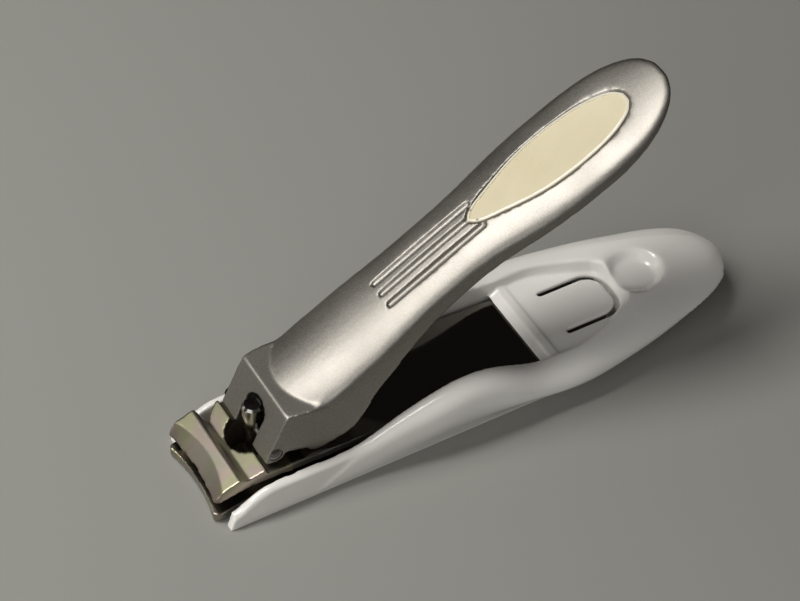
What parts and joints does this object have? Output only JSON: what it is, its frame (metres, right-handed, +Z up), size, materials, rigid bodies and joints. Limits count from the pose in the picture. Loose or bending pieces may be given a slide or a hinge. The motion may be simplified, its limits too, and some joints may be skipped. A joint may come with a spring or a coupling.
{
  "type": "nail clipper with catcher case",
  "caption": "Catcher nail clipper: sprung steel arms on a rivet, headed post, cast thumb lever, in a moulded case with a deck tongue.",
  "frame": {"origin": "middle of the flat foot under the case", "axes": "+X from the jaws to the tail, +Y across to the left, +Z up from the foot"},
  "size_m": [0.0941, 0.0274, 0.05],
  "materials": {
    "white_abs": "glossy warm white",
    "arm_steel": "polished stainless, satin jaws",
    "turned_steel": "polished",
    "satin_nickel": "satin nickel on zinc casting",
    "label_cream": "smooth cream"
  },
  "bodies": {
    "case": {"catcher_case": "white_abs"},
    "latch": {"latch_tongue": "white_abs"},
    "lower": {"lower_arm": "arm_steel", "rear_rivet": "turned_steel"},
    "upper": {"upper_arm": "arm_steel"},
    "post": {"post": "turned_steel"},
    "lever": {"lever": "satin_nickel", "label_plate": "label_cream", "lever_pin": "turned_steel"}
  },
  "joints": [
    {"name": "clipper_slide", "type": "slide", "parent": "case", "child": "lower", "axis": [-1, 0, 0], "range_m": [0, 0.012]},
    {"name": "latch_flex", "type": "hinge", "parent": "case", "child": "latch", "pos_m": [0.0281, 0, 0.00537], "axis": [0, -1, 0], "range_deg": [0, 6], "stiffness_Nm_per_rad": 0.19},
    {"name": "upper_arm_flex", "type": "hinge", "parent": "lower", "child": "upper", "pos_m": [0.0328, 0, 0.00295], "axis": [0, -1, 0], "range_deg": [0, 2.1]},
    {"name": "post_swivel", "type": "hinge", "parent": "lower", "child": "post", "pos_m": [-0.0243, 0, 0], "axis": [0, 0, 1], "range_deg": [-3.5, 3.5]},
    {"name": "lever_press", "type": "hinge", "parent": "post", "child": "lever", "pos_m": [-0.0243, 0, 0.00894], "axis": [0, 1, 0], "range_deg": [0, 15.6], "stiffness_Nm_per_rad": 0.4, "springref_deg": -3.44}
  ],
  "couplings": [
    {"joint": "upper_arm_flex", "follows": "lever_press", "ratio": 0.134}
  ]
}
